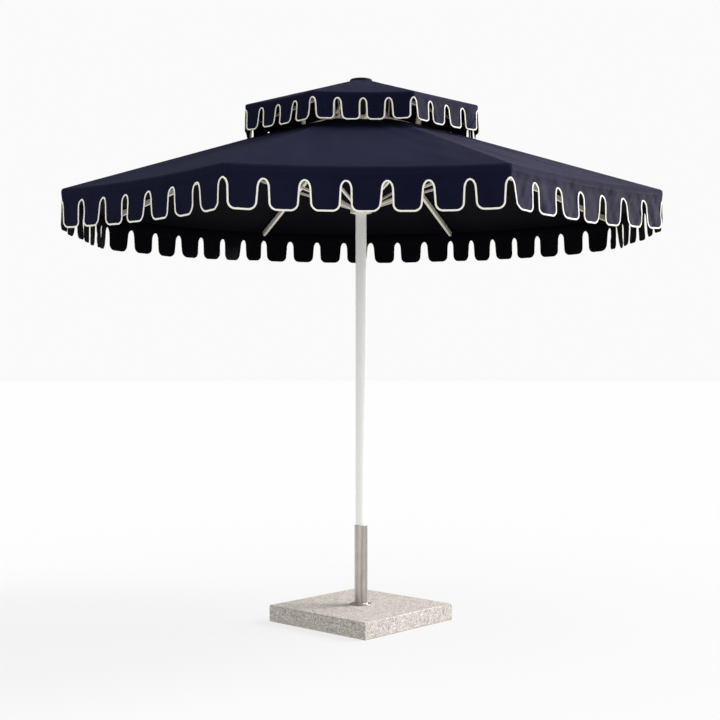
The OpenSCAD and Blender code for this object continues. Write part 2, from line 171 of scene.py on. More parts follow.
def put_values(piece: Piece, name: str, values: Points) -> None:
    """Gives each point of a mesh a named number that its material reads.

    Args:
        piece: The mesh object.
        name: Name of the attribute.
        values: One number for each point.
    """
    layer = piece.data.attributes.new(name, "FLOAT", "POINT")
    layer.data.foreach_set("value", values.astype(np.float32).ravel())


def sharpen_border(piece: Piece) -> None:
    """Marks the open border of a sheet as sharp, so that its rim doesn't bend the shading of its faces.

    Args:
        piece: The mesh object.
    """
    mesh = piece.data
    edge = np.empty(len(mesh.loops), np.int32)
    mesh.loops.foreach_get("edge_index", edge)
    border = np.bincount(edge, minlength=len(mesh.edges)) == 1
    mesh.attributes.new("sharp_edge", "BOOLEAN", "EDGE").data.foreach_set("value", border)


def carried_profile(path: Points, out: Points, shape: Points) -> tuple[Points, list[Points], Points]:
    """A closed profile carried along an open path: path + out * shape[1] + side * shape[0].

    The side direction is the path's tangent crossed with out, and both ends get a flat face.

    Args:
        path: Points along the path, in metres.
        out: Outward direction at each of those points.
        shape: Profile points as (side, out), counter-clockwise, in metres.

    Returns:
        Points, faces, and (along, around) in metres for each point.
    """
    tangent = np.gradient(path, axis=0)
    tangent /= np.linalg.norm(tangent, axis=1, keepdims=True)
    out = out - (out * tangent).sum(1, keepdims=True) * tangent
    out /= np.linalg.norm(out, axis=1, keepdims=True)
    side = np.cross(tangent, out)
    ring = path[:, None] + side[:, None] * shape[None, :, :1] + out[:, None] * shape[None, :, 1:]
    index = round_grid(*ring.shape[:2])
    faces = list(sheet_faces(index)[:, ::-1]) + [index[0, :-1][::-1], index[-1, :-1]]
    length = np.concatenate([[0], np.cumsum(np.linalg.norm(np.diff(path, axis=0), axis=1))])
    girth = np.concatenate([[0], np.cumsum(np.linalg.norm(np.diff(shape, axis=0), axis=1))])
    flat = np.stack(np.broadcast_arrays(length[:, None], girth[None, :]), axis=2)
    return ring.reshape(-1, 3), turned_out(ring.reshape(-1, 3), faces), flat.reshape(-1, 2)


def turned_out(points: Points, faces: list[Points]) -> list[Points]:
    """Turns the faces of a closed form outwards: its volume, summed over them, has to be positive.

    Args:
        points: Points in metres.
        faces: Point numbers of each face.

    Returns:
        The same faces, all reversed if the form was inside out.
    """
    quads = np.array([f[:4] for f in faces if len(f) == 4])
    corner = points[quads] - points.mean(0)
    first = corner[:, 0]
    volume = sum((np.cross(corner[:, a] - first, corner[:, a + 1] - first) * first).sum() for a in (1, 2))
    return faces if volume > 0 else [f[::-1] for f in faces]


# ---- Node trees ----


class Effect(Enum):
    """Effects over a surface that several finishes share."""

    GRAIN = "fine_grain"
    MOTTLE = "slow_mottle"
    WEAVE = "thread_weave"
    STITCH = "stitch_row"
    CREASE = "soft_creases"
    DUST = "ground_dust"
    BRUSH = "brushed_lines"


class Recipe:
    """Short calls for building one node tree."""

    def __init__(self, tree: NodeTree) -> None:
        """Starts on the tree of a material, a world or a node group."""
        self.tree = tree

    def join(self, node: Node, inputs: dict[Any, Any]) -> Node:
        """Sets each input of a node to a value, or joins it to a socket.

        Args:
            node: The node.
            inputs: Values or sockets, by input name or number.

        Returns:
            The same node.
        """
        for key, value in inputs.items():
            if isinstance(value, Socket):
                self.tree.links.new(value, node.inputs[key])
            else:
                node.inputs[key].default_value = value
        return node

    def add(self, kind: str, inputs: dict[Any, Any] | None = None, **settings: Any) -> Node:
        """Adds a node.

        Args:
            kind: Blender's name for the kind of node.
            inputs: Values or sockets, by input name or number.
            settings: Properties of the node.

        Returns:
            The new node.
        """
        node = self.tree.nodes.new(kind)
        for key, value in settings.items():
            setattr(node, key, value)
        return self.join(node, inputs or {})

    def effect(self, which: Effect, **inputs: Any) -> Any:
        """Adds a shared effect with its inputs and returns its output sockets."""
        return self.add("ShaderNodeGroup", inputs, node_tree=EFFECTS[which]).outputs

    def math(self, operation: str, *values: Any) -> Socket:
        """Adds a Math node with its values and returns its output socket."""
        return self.add("ShaderNodeMath", dict(enumerate(values)), operation=operation).outputs[0]

    def times(self, first: Any, second: Any, plus: Any = 0.0) -> Socket:
        """Adds a Math node for first * second + plus and returns its output socket."""
        return self.math("MULTIPLY_ADD", first, second, plus)

    def noise(self, vector: Socket, scale: Any, detail: float, distortion: float = 0.0) -> Socket:
        """Adds a Noise node and returns its number, about 0 to 1."""
        return self.add("ShaderNodeTexNoise", {"Vector": vector, "Scale": scale, "Detail": detail,
                                               "Distortion": distortion}).outputs[0]

    def ramp(self, value: Socket, low: float, high: float, start: float = 0.0, end: float = 1.0) -> Socket:
        """Maps low to high onto start to end, with a smooth ease, and returns the socket."""
        ends = {"Value": value, "From Min": low, "From Max": high, "To Min": start, "To Max": end}
        return self.add("ShaderNodeMapRange", ends, interpolation_type="SMOOTHSTEP").outputs["Result"]

    def blend(self, share: Any, first: Any, second: Any, how: str = "MIX") -> Socket:
        """Mixes two colours, with share as the share of the second, and returns the socket."""
        node = self.add("ShaderNodeMix", {0: share, 6: first, 7: second}, data_type="RGBA", blend_type=how)
        return node.outputs[2]

    def dress(self, surface: Node, colour: Socket, rough: Socket, height: Socket, strength: float,
              others: dict[str, Any]) -> None:
        """Joins a surface to its colour, roughness, other inputs, and the bump of a height in metres."""
        bump = self.add("ShaderNodeBump", {"Height": height, "Distance": 1.0, "Strength": strength})
        self.join(surface, {"Base Color": colour, "Roughness": rough, "Normal": bump.outputs[0], **others})

    def give(self, **outputs: Socket) -> NodeTree:
        """Ends a shared group by joining its outputs, and returns its tree."""
        self.add("NodeGroupOutput", outputs)
        return self.tree


def new_group(effect: Effect, inputs: dict[str, Any], outputs: list[str]) -> tuple[Recipe, Any]:
    """Starts a shared node group with named sockets.

    Args:
        effect: Which effect it is.
        inputs: Input names with a number, or None for a vector.
        outputs: Names of the outputs, all numbers.

    Returns:
        A recipe for its tree, and the sockets that carry its inputs.
    """
    tree = bpy.data.node_groups.new(effect.value, "ShaderNodeTree")
    for name, value in inputs.items():
        kind = "NodeSocketVector" if value is None else "NodeSocketFloat"
        socket = tree.interface.new_socket(name=name, in_out="INPUT", socket_type=kind)
        if value is not None:
            socket.default_value = value
    for name in outputs:
        tree.interface.new_socket(name=name, in_out="OUTPUT", socket_type="NodeSocketFloat")
    recipe = Recipe(tree)
    return recipe, recipe.add("NodeGroupInput").outputs


def grain_group() -> NodeTree:
    """Fine grain: two scales of noise added, for roughness and for the height of a bump.

    Returns:
        The group, with the output Grain from 0 to 1.
    """
    recipe, given = new_group(Effect.GRAIN, {"Vector": None, "Scale": 400.0}, ["Grain"])
    fine = recipe.noise(given["Vector"], given["Scale"], 3.0)
    broad = recipe.noise(given["Vector"], recipe.times(given["Scale"], 0.21), 2.0)
    return recipe.give(Grain=recipe.times(fine, 0.6, recipe.times(broad, 0.4)))


def mottle_group() -> NodeTree:
    """Slow mottle: large soft clouds, for uneven dye, fading and handling marks.

    Returns:
        The group, with the output Cloud from 0 to 1.
    """
    recipe, given = new_group(Effect.MOTTLE, {"Vector": None, "Scale": 3.0}, ["Cloud"])
    cloud = recipe.noise(given["Vector"], given["Scale"], 4.0, 0.6)
    return recipe.give(Cloud=recipe.ramp(cloud, 0.32, 0.68))


def weave_group() -> NodeTree:
    """Plain weave: warp and weft threads as two sets of round ridges that pass over each other in turn.

    Returns:
        The group, with the outputs Height and Slub, the uneven thickness of the threads.
    """
    recipe, given = new_group(Effect.WEAVE, {"Vector": None, "Pitch": 0.0009}, ["Height", "Slub"])
    part = recipe.add("ShaderNodeSeparateXYZ", {0: given["Vector"]}).outputs
    turns = recipe.math("DIVIDE", math.pi, given["Pitch"])
    across, along = (recipe.math("SINE", recipe.times(part[way], turns)) for way in (0, 1))
    over = recipe.math("GREATER_THAN", recipe.times(across, along), 0.0)
    warp, weft = recipe.math("ABSOLUTE", across), recipe.math("ABSOLUTE", along)
    mixed = recipe.add("ShaderNodeMix", {0: over, 2: recipe.times(weft, 0.8), 3: warp}, data_type="FLOAT")
    drawn = recipe.add("ShaderNodeMapping", {"Vector": given["Vector"], "Scale": (900, 22, 1)}).outputs[0]
    return recipe.give(Height=mixed.outputs[0], Slub=recipe.noise(drawn, 1.0, 1.0))


def stitch_group() -> NodeTree:
    """A row of stitches: on where the distance from the row is under half a thread, in dashes along it.

    Returns:
        The group, with the output Thread from 0 to 1.
    """
    recipe, given = new_group(
        Effect.STITCH, {"Distance": 0.0, "Along": 0.0, "Row": 0.009, "Thread": 0.0007, "Step": 0.0042},
        ["Thread"])
    apart = recipe.math("ABSOLUTE", recipe.math("SUBTRACT", given["Distance"], given["Row"]))
    near = recipe.ramp(recipe.math("DIVIDE", apart, given["Thread"]), 0.6, 1.2, 1.0, 0.0)
    beat = recipe.math("FRACT", recipe.math("DIVIDE", given["Along"], given["Step"]))
    dash = recipe.ramp(recipe.math("ABSOLUTE", recipe.math("SUBTRACT", beat, 0.5)), 0.30, 0.38, 1.0, 0.0)
    return recipe.give(Thread=recipe.times(near, dash))


def crease_group() -> NodeTree:
    """Soft slanting creases: noise drawn out along a slant, plus a finer crossing set.

    Returns:
        The group, with the output Crease from 0 to 1.
    """
    recipe, given = new_group(Effect.CREASE, {"Vector": None, "Scale": 20.0}, ["Crease"])
    sets = []
    for slant, drawn, finer in ((24.0, 0.22, 1.0), (-38.0, 0.30, 1.9)):
        turned = recipe.add("ShaderNodeVectorRotate",
                            {"Vector": given["Vector"], "Angle": math.radians(slant)}).outputs[0]
        laid = recipe.add("ShaderNodeVectorMath", {0: turned, 1: (1.0, drawn, 1.0)},
                          operation="MULTIPLY").outputs[0]
        sets.append(recipe.noise(laid, recipe.times(given["Scale"], finer), 1.0))
    return recipe.give(Crease=recipe.times(sets[0], 0.7, recipe.times(sets[1], 0.3)))


def dust_group() -> NodeTree:
    """Dust that settles low down: strongest at the ground, broken up by noise, gone above a height.

    Returns:
        The group, with the output Dust from 0 to 1.
    """
    recipe, given = new_group(Effect.DUST, {"Vector": None, "Height": 0.1}, ["Dust"])
    up = recipe.add("ShaderNodeSeparateXYZ", {0: given["Vector"]}).outputs[2]
    level = recipe.math("DIVIDE", up, given["Height"])
    spots = recipe.noise(given["Vector"], 38.0, 5.0)
    uneven = recipe.times(spots, 0.9, recipe.math("SUBTRACT", level, 0.45))
    return recipe.give(Dust=recipe.ramp(uneven, 0.0, 1.0, 1.0, 0.0))


def brush_group() -> NodeTree:
    """Brushed lines: noise that is fine in the plane and drawn out along the upright axis.

    Returns:
        The group, with the output Line from 0 to 1.
    """
    recipe, given = new_group(Effect.BRUSH, {"Vector": None, "Fineness": 900.0}, ["Line"])
    fine = given["Fineness"]
    scale = recipe.add("ShaderNodeCombineXYZ", {0: fine, 1: fine, 2: recipe.times(fine, 0.02)}).outputs[0]
    drawn = recipe.add("ShaderNodeVectorMath", {0: given["Vector"], 1: scale}, operation="MULTIPLY")
    return recipe.give(Line=recipe.noise(drawn.outputs[0], 1.0, 2.0))


EFFECTS = {Effect.GRAIN: grain_group(), Effect.MOTTLE: mottle_group(), Effect.WEAVE: weave_group(),
           Effect.STITCH: stitch_group(), Effect.CREASE: crease_group(), Effect.DUST: dust_group(),
           Effect.BRUSH: brush_group()}


def new_material(name: str) -> tuple[Material, Recipe, Node]:
    """Starts a material with an empty Principled surface.

    Args:
        name: Name of the finish.

    Returns:
        The material, a recipe for its tree, and the Principled node.
    """
    material = bpy.data.materials.new(name)
    material.use_nodes = True
    recipe = Recipe(material.node_tree)
    recipe.tree.nodes.clear()
    surface = recipe.add("ShaderNodeBsdfPrincipled")
    recipe.add("ShaderNodeOutputMaterial", {"Surface": surface.outputs[0]})
    return material, recipe, surface


@dataclass(frozen=True)
class ClothFinish:
    """Solution-dyed canvas with felled seams, stitching, soft creases and uneven fading."""

    name: str
    colour: Colour
    faded: Colour
    thread: Colour
    sheen: float
    gloss: float
    roughness: float = 0.72
    thread_pitch: float = 0.0009
    cloud_scale: float = 2.2
    streak_scale: float = 11.0
    seam_row: float = 0.0085
    seam_reach: float = 0.0115
    seam_fade: float = 0.25
    hem_rows: tuple[float, float] = (0.0195, 0.0255)
    stitch_share: float = 0.55
    weave_height: float = 0.00012
    tape_height: float = 0.0006
    stitch_height: float = 0.00035
    crease_scale: float = 11.0
    crease_depth: float = 0.028
    taut_share: float = 0.12

    def make(self) -> Material:
        """Builds the material: dye and fading, weave, seam tapes along the hips, and rows of stitches.

        Returns:
            The finished material.
        """
        material, recipe, surface = new_material(self.name)
        place = recipe.add("ShaderNodeUVMap", uv_map="Cloth").outputs[0]
        across = recipe.add("ShaderNodeSeparateXYZ", {0: place}).outputs[0]
        hip, down = (recipe.add("ShaderNodeAttribute", attribute_name=name).outputs["Fac"]
                     for name in ("hip", "down"))
        weave = recipe.effect(Effect.WEAVE, Vector=place, Pitch=self.thread_pitch)
        cloud = recipe.effect(Effect.MOTTLE, Vector=place, Scale=self.cloud_scale)[0]
        streak = recipe.effect(Effect.MOTTLE, Vector=place, Scale=self.streak_scale)[0]
        stitches = recipe.effect(Effect.STITCH, Distance=hip, Along=down, Row=self.seam_row)[0]
        for row in self.hem_rows:
            more = recipe.effect(Effect.STITCH, Distance=down, Along=across, Row=row)[0]
            stitches = recipe.math("MAXIMUM", stitches, more)
        tape = recipe.ramp(hip, self.seam_reach, self.seam_reach + 0.0012, 1.0, 0.0)

        fade = recipe.times(cloud, 0.45, recipe.times(streak, 0.25))
        dyed = recipe.blend(fade, self.colour, self.faded)
        dyed = recipe.blend(recipe.times(tape, self.seam_fade), dyed, self.faded)
        slub = recipe.times(weave["Slub"], 0.5, 0.72)
        grey = recipe.add("ShaderNodeCombineColor", {0: slub, 1: slub, 2: slub}).outputs[0]
        toned = recipe.blend(1.0, dyed, grey, "MULTIPLY")
        colour = recipe.blend(recipe.times(stitches, self.stitch_share), toned, self.thread)
        rough = recipe.times(weave["Height"], -0.08, self.roughness + 0.04)

        height = recipe.times(weave["Height"], self.weave_height, recipe.times(tape, self.tape_height))
        height = recipe.times(stitches, self.stitch_height, height)
        crease = recipe.effect(Effect.CREASE, Vector=place, Scale=self.crease_scale)[0]
        slack = recipe.ramp(down, 0.0, self.hem_rows[1], self.taut_share, 1.0)
        height = recipe.times(recipe.times(crease, slack), self.crease_depth, height)
        recipe.dress(surface, colour, rough, height, 0.7,
                     {"Sheen Weight": self.sheen, "Sheen Roughness": 0.45,
                      "Sheen Tint": (0.80, 0.78, 0.86, 1), "Specular IOR Level": self.gloss})
        return material


@dataclass(frozen=True)
class BraidFinish:
    """Flat cream braid: strands that cross the cord's length on the skew, with painted shade in the grooves
    between them.
    """

    name: str
    colour: Colour
    # Colour of the painted shade in the grooves between strands, and also of the soil mottle.
    groove_shade_and_soil: Colour
    strand: float = 0.0021
    strand_height: float = 0.0004
    grain_height: float = 0.0001
    soil_share: float = 0.18

    def make(self) -> Material:
        """Builds the material: two sets of slanting strands, with painted shade darkening the grooves
        between them.

        Returns:
            The finished material.
        """
        material, recipe, surface = new_material(self.name)
        place = recipe.add("ShaderNodeUVMap", uv_map="Cloth").outputs[0]
        along, around = recipe.add("ShaderNodeSeparateXYZ", {0: place}).outputs[:2]
        turns = math.pi / self.strand
        left, right = (recipe.math("SINE", recipe.times(recipe.math(way, along, around), turns))
                       for way in ("ADD", "SUBTRACT"))
        strands = recipe.math("MAXIMUM", recipe.math("ABSOLUTE", left), recipe.math("ABSOLUTE", right))
        grain = recipe.effect(Effect.GRAIN, Vector=place, Scale=260.0)[0]
        soil = recipe.effect(Effect.MOTTLE, Vector=place, Scale=5.0)[0]
        # Painted shade: where the strands dip into their grooves, and where the grain is low, the colour
        # runs towards the shade colour.
        tone = recipe.times(recipe.ramp(strands, 0.55, 0.95), recipe.ramp(grain, 0.25, 0.55))
        lit = recipe.blend(tone, self.groove_shade_and_soil, self.colour)
        colour = recipe.blend(recipe.times(soil, self.soil_share), lit, self.groove_shade_and_soil)
        height = recipe.times(strands, self.strand_height, recipe.times(grain, self.grain_height))
        recipe.dress(surface, colour, recipe.ramp(grain, 0.2, 0.8, 0.62, 0.85), height, 0.6,
                     {"Sheen Weight": 0.12, "Specular IOR Level": 0.3})
        return material


@dataclass(frozen=True)
class PaintFinish:
    """Powder coat or moulded plastic: fine orange peel, soft marks, a little dust near the ground, and,
    where a height is given, a painted shade above it.
    """

    name: str
    colour: Colour
    marks: Colour
    roughness: float
    peel: float = 0.00004
    peel_scale: float = 900.0
    coat: float = 0.0
    gloss: float = 0.5
    mark_share: float = 0.35
    dust: Colour = (0.52, 0.48, 0.42, 1)
    dust_height: float = 0.02
    dust_share: float = 0.3
    # Painted shade: above this height the coat turns to the dark colour below, standing in for the shadow
    # inside the top tier.
    painted_shade_above: float = 0.0
    dark: Colour = (0.02, 0.02, 0.022, 1)

    def make(self) -> Material:
        """Builds the material from peel, marks and dust, with a painted shade that darkens it above a height
        if there is one.

        Returns:
            The finished material.
        """
        material, recipe, surface = new_material(self.name)
        place = recipe.add("ShaderNodeTexCoord").outputs["Object"]
        grain = recipe.effect(Effect.GRAIN, Vector=place, Scale=self.peel_scale)[0]
        cloud = recipe.effect(Effect.MOTTLE, Vector=place, Scale=9.0)[0]
        dust = recipe.effect(Effect.DUST, Vector=place, Height=self.dust_height)[0]
        marked = recipe.blend(recipe.times(cloud, self.mark_share), self.colour, self.marks)
        colour = recipe.blend(recipe.times(dust, self.dust_share), marked, self.dust)
        # Painted shade: the part's end above the height is darkened, for the shadow the top tier casts
        # there.
        if self.painted_shade_above:
            height = recipe.add("ShaderNodeSeparateXYZ", {0: place}).outputs[2]
            end = recipe.ramp(height, self.painted_shade_above, self.painted_shade_above + 0.002)
            colour = recipe.blend(end, colour, self.dark)
        rough = recipe.times(grain, 0.12, self.roughness - 0.06)
        rough = recipe.times(dust, 0.25, recipe.times(cloud, 0.05, rough))
        recipe.dress(surface, colour, rough, recipe.times(grain, self.peel), 0.8,
                     {"Coat Weight": self.coat, "Coat Roughness": 0.2, "Specular IOR Level": self.gloss})
        return material


@dataclass(frozen=True)
class MetalFinish:
    """Bare metal: brushed along its length, in fine lines and broad bands, with smudges and low dust."""

    name: str
    colour: Colour
    dull: Colour
    roughness: float
    fineness: float = 900.0
    line_height: float = 0.00003
    band: Colour = (0.24, 0.21, 0.19, 1)
    band_fineness: float = 62.0
    band_depth: float = 0.55
    dust: Colour = (0.42, 0.40, 0.37, 1)
    dust_height: float = 0.16
    dust_share: float = 0.35

    def make(self) -> Material:
        """Builds the material from brushed lines, bands, smudges and dust.

        Returns:
            The finished material.
        """
        material, recipe, surface = new_material(self.name)
        place = recipe.add("ShaderNodeTexCoord").outputs["Object"]
        line = recipe.effect(Effect.BRUSH, Vector=place, Fineness=self.fineness)[0]
        broad = recipe.effect(Effect.BRUSH, Vector=place, Fineness=self.band_fineness)[0]
        cloud = recipe.effect(Effect.MOTTLE, Vector=place, Scale=14.0)[0]
        dust = recipe.effect(Effect.DUST, Vector=place, Height=self.dust_height)[0]
        tone = recipe.times(line, 0.85, recipe.times(cloud, 0.15))
        bare = recipe.blend(recipe.ramp(tone, 0.3, 0.7), self.dull, self.colour)
        bare = recipe.blend(recipe.ramp(broad, 0.42, 0.62, 0.0, self.band_depth), bare, self.band)
        colour = recipe.blend(recipe.times(dust, self.dust_share), bare, self.dust)
        rough = recipe.times(cloud, 0.04, recipe.times(line, 0.22, self.roughness - 0.08))
        recipe.dress(surface, colour, rough, recipe.times(line, self.line_height), 0.8,
                     {"Metallic": recipe.times(dust, -self.dust_share, 1.0)})
        return material


@dataclass(frozen=True)
class GraniteFinish:
    """Speckled grey granite: pale feldspar, clear grey quartz and black mica grains, with a flamed skin."""

    name: str
    ground: Colour
    pale: Colour
    dark: Colour
    warm: Colour
    dust: Colour = (0.40, 0.37, 0.33, 1)
    dust_height: float = 0.045
    dust_share: float = 0.25
    grain_scale: float = 185.0
    fleck_scale: float = 2.3
    bend: float = 0.006
    crystal_height: float = 0.0003
    grain_height: float = 0.0005

    def make(self) -> Material:
        """Builds the material from three sizes of crystals and a soft mottle.

        Returns:
            The finished material.
        """
        material, recipe, surface = new_material(self.name)
        place = recipe.add("ShaderNodeTexCoord").outputs["Object"]
        wobble = recipe.add("ShaderNodeTexNoise", {"Vector": place, "Scale": 95.0, "Detail": 3.0})
        bends = {0: wobble.outputs["Color"], 1: (self.bend,) * 3, 2: place}
        bent = recipe.add("ShaderNodeVectorMath", bends, operation="MULTIPLY_ADD").outputs[0]
        random, fleck = (
            recipe.add("ShaderNodeSeparateColor", {0: recipe.add(
                "ShaderNodeTexVoronoi", {"Vector": bent, "Scale": scale}).outputs["Color"]}).outputs
            for scale in (self.grain_scale, self.grain_scale * self.fleck_scale))
        cloud = recipe.effect(Effect.MOTTLE, Vector=place, Scale=26.0)[0]
        grain = recipe.effect(Effect.GRAIN, Vector=place, Scale=700.0)[0]
        dust = recipe.effect(Effect.DUST, Vector=place, Height=self.dust_height)[0]

        stone = recipe.blend(recipe.ramp(random[0], 0.35, 0.75), self.ground, self.pale)
        stone = recipe.blend(recipe.ramp(random[1], 0.72, 0.80), stone, self.warm)
        mica = recipe.math("MAXIMUM", recipe.ramp(fleck[0], 0.80, 0.86), recipe.ramp(random[2], 0.90, 0.93))
        stone = recipe.blend(recipe.times(mica, 0.8), stone, self.dark)
        stone = recipe.blend(recipe.times(cloud, 0.16), stone, self.dark)
        colour = recipe.blend(recipe.times(dust, self.dust_share), stone, self.dust)
        height = recipe.times(random[0], self.crystal_height, recipe.times(grain, self.grain_height))
        rough = recipe.times(mica, -0.25, recipe.ramp(grain, 0.2, 0.8, 0.62, 0.85))
        recipe.dress(surface, colour, rough, height, 0.5, {})
        return material


CANVAS = ClothFinish("navy_canvas", (0.0054, 0.0062, 0.0180, 1), (0.0086, 0.0096, 0.0250, 1),
                     (0.018, 0.020, 0.038, 1), sheen=0.007, gloss=0.015)
# The canopy's inner face: the same canvas, its colour darkened as a painted shade of the shadow under the
# canopy.
UNDERSIDE_PAINTED_SHADE = ClothFinish("dark_lining", (0.0020, 0.0021, 0.0036, 1), (0.0031, 0.0032, 0.0050, 1),
                     (0.006, 0.006, 0.010, 1), sheen=0.0, gloss=0.02)
BRAID = BraidFinish("cream_braid", (0.88, 0.86, 0.80, 1), (0.72, 0.68, 0.60, 1))
CHAMPAGNE = PaintFinish("champagne_coat", (0.66, 0.61, 0.52, 1), (0.58, 0.53, 0.45, 1), 0.36)
# The pole's coat, with a painted shade on the pole's end above 2.33 m, where the top tier shades it.
OFF_WHITE = PaintFinish("off_white_coat", (0.91, 0.905, 0.88, 1), (0.87, 0.86, 0.83, 1), 0.3,
                        coat=0.15, painted_shade_above=2.330)
MOULDED_WHITE = PaintFinish("moulded_cream", (0.68, 0.64, 0.57, 1), (0.60, 0.56, 0.49, 1), 0.5,
                            peel=0.00008, peel_scale=500.0)
MOULDED_BLACK = PaintFinish("moulded_black", (0.018, 0.018, 0.019, 1), (0.03, 0.03, 0.03, 1), 0.55,
                            peel=0.00010, peel_scale=420.0)
MOULDED_NAVY = PaintFinish("moulded_navy", (0.006, 0.0065, 0.012, 1), (0.010, 0.011, 0.018, 1), 0.6,
                           peel=0.00008, peel_scale=500.0, gloss=0.08)
STAINLESS = MetalFinish("brushed_stainless", (0.57, 0.53, 0.485, 1), (0.40, 0.368, 0.335, 1), 0.25)
ZINC = MetalFinish("zinc_plate", (0.60, 0.61, 0.64, 1), (0.42, 0.43, 0.46, 1), 0.42,
                   fineness=240.0, dust_height=0.02)
GRANITE = GraniteFinish("grey_granite", (0.40, 0.378, 0.352, 1), (0.60, 0.575, 0.545, 1),
                        (0.13, 0.122, 0.116, 1), (0.50, 0.40, 0.33, 1))


def dress_nodes(material: Material, names: list[str]) -> None:
    """Gives carried-over parts their finish.

    Args:
        material: The finish's material.
        names: Names of the parts.
    """
    for name in names:
        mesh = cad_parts[name].data
        mesh.materials.clear()
        mesh.materials.append(material)
        LOG.info("%s wears %s", name, material.name)


# ---- The canopy ----


@dataclass
class CanopyTier:
    """One tier of the canopy: eight gores, each from mid-panel to mid-panel over a rib, with braided tabs.

    Most sizes are in metres. A share has no unit, and each slow wave or fold is scaled by wave or billow.
    """

    node: str
    rib: str
    drop: float
    opening: float
    tabs: int
    arch_top: float
    arch_rise: float
    arch_half: float
    foot_half: float
    tab_round: float
    sag: float
    slope_rows: int
    keep: float
    seed: int
    pull: float = 0.006
    roll: float = 0.014
    ease: float = 0.0078
    hem: float = 0.0225
    hem_step: float = 0.0011
    flare: float = 0.0045
    waist: float = 0.0028
    waist_at: float = 0.048
    wave: float = 0.0050
    billow: float = 0.0016
    thickness: float = 0.001
    braid_half: float = 0.0034
    braid_inset: float = 0.0026
    slack: float = 0.0038
    curl_share: float = 1.6
    twist_share: float = 1.3
    bow_share: float = 0.9
    bow_along: float = 0.0020
    fold_share: float = 0.75
    fold_half: float = 0.17
    fold_shift: float = 0.8
    fold_slant: float = 1.3
    lean_most: float = 0.0042
    lean_power: float = 1.6
    short_most: float = 0.0016
    waist_half: float = 0.013
    hem_width: float = 0.003
    billow_ease: float = 0.12
    braid_off: float = 0.0009
    braid_rise: float = 0.0016
    braid_step: float = 0.0008
    arch_steps: int = 7
    tab_steps: int = 17

    def __post_init__(self) -> None:
        """Works out the tier's slope and heights from the CAD cloth's box, and draws its tabs' habits."""
        low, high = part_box(self.node)
        self.apothem = float(high.x)
        eave = float(low.z) + self.drop
        corner = self.apothem / math.cos(HALF)
        self.slope = math.atan((float(high.z) - eave) / (corner - self.opening) / math.cos(HALF))
        self.eave = eave + self.slack
        self.half_side = self.apothem * math.tan(HALF)
        self.pitch = 2 * self.half_side / self.tabs
        self.shoulder = self.arch_top + self.arch_rise
        self.run = (self.apothem - self.opening * math.cos(HALF)) / math.cos(self.slope)
        self.tangent = self.roll * math.tan((QUARTER - self.slope) / 2)
        chance = np.random.default_rng(self.seed)
        shape = (SIDES + 1, self.tabs)
        habits = chance.uniform(-1, 1, (5, *shape))
        folds = chance.uniform(-1, 1, (3, 3, *shape))
        self.phase = chance.uniform(0, ROUND, (len(BILLOWS), SIDES + 1))
        for table in (*habits, *folds.reshape(9, *shape), *self.phase):
            table[SIDES] = table[0]
        self.curl, self.twist, self.lean, self.bow, self.short = habits
        self.fold_at, self.fold_tilt, self.fold_size = folds

    def columns(self) -> tuple[Points, Points, Points]:
        """Columns of the cloth's grid along one side, close together round each arch between two tabs.

        Returns:
            Place along the side, depth where the unbroken cloth ends, and tab number or -1.
        """
        turn = np.linspace(0, QUARTER, self.arch_steps)
        arch = self.arch_half * np.sin(turn)
        depth = self.arch_top + self.arch_rise * (1 - np.cos(turn))
        width = self.pitch / 2 - self.arch_half
        across = np.linspace(-width, width, self.tab_steps)
        x, low, owner = [], [], []
        for tab in range(self.tabs):
            centre = (tab - (self.tabs - 1) / 2) * self.pitch
            x += [centre - self.pitch / 2 + arch[:-1], centre + across,
                  centre + self.pitch / 2 - arch[::-1][1:-1]]
            low += [depth[:-1], np.full(self.tab_steps, self.shoulder), depth[::-1][1:-1]]
            owner += [np.full(self.arch_steps - 1, -1), np.full(self.tab_steps, tab),
                      np.full(self.arch_steps - 2, -1)]
        x.append([self.half_side])
        low.append([self.arch_top])
        owner.append([-1])
        return np.concatenate(x), np.concatenate(low), np.concatenate(owner)

    def tab_half(self, depth: Points) -> Points:
        """Half-width of a tab at a depth: it narrows from its shoulder, then rounds off into its foot.

        Args:
            depth: Depths below the eave, from the shoulder down.

        Returns:
            Half-widths in metres.
        """
        share = (depth - self.shoulder) / (self.drop - self.shoulder)
        straight = self.pitch / 2 - self.arch_half - (self.foot_half - self.arch_half) * share
        into = np.clip(depth - (self.drop - self.tab_round), 0, self.tab_round)
        return straight - self.tab_round + np.sqrt(np.maximum(self.tab_round**2 - into**2, 0))

    def tab_wave(self, panel: Points, x: Points, down: Points) -> tuple[Points, Points, Points]:
        """How a tab differs from flat: curl grows with the depth squared, twist is linear across,
        and three soft slanting folds are bell curves across their own line. All are 0 above the arches.

        Args:
            panel: Number of the side, 0 to 8.
            x: Place along the side.
            down: Depth below the eave.

        Returns:
            Shift outwards, shift along the side and shift downwards, in metres.
        """
        tab = np.clip(((x + self.half_side) // self.pitch).astype(int), 0, self.tabs - 1)
        across = (x - (tab - (self.tabs - 1) / 2) * self.pitch) / (self.pitch / 2)
        level = np.clip((down - self.arch_top) / (self.drop - self.arch_top), 0, 1)
        curl, twist, lean, bow, short = (
            table[panel, tab] for table in (self.curl, self.twist, self.lean, self.bow, self.short))
        out = self.wave * level**2 * (curl * self.curl_share + twist * across * self.twist_share)
        out += self.wave * self.bow_share * level**2 * (across**2 - 0.5) * bow
        for at, tilt, size in zip(self.fold_at, self.fold_tilt, self.fold_size):
            line = across - at[panel, tab] * self.fold_shift
            line = line + (level - 0.5) * tilt[panel, tab] * self.fold_slant
            bell = np.exp(-((line / self.fold_half) ** 2))
            out += self.wave * self.fold_share * size[panel, tab] * bell * np.sqrt(level)
        along = lean * self.lean_most * level**self.lean_power
        along = along + bow * self.bow_along * level * (1 - level) * across
        return out, along, short * self.short_most * level**2

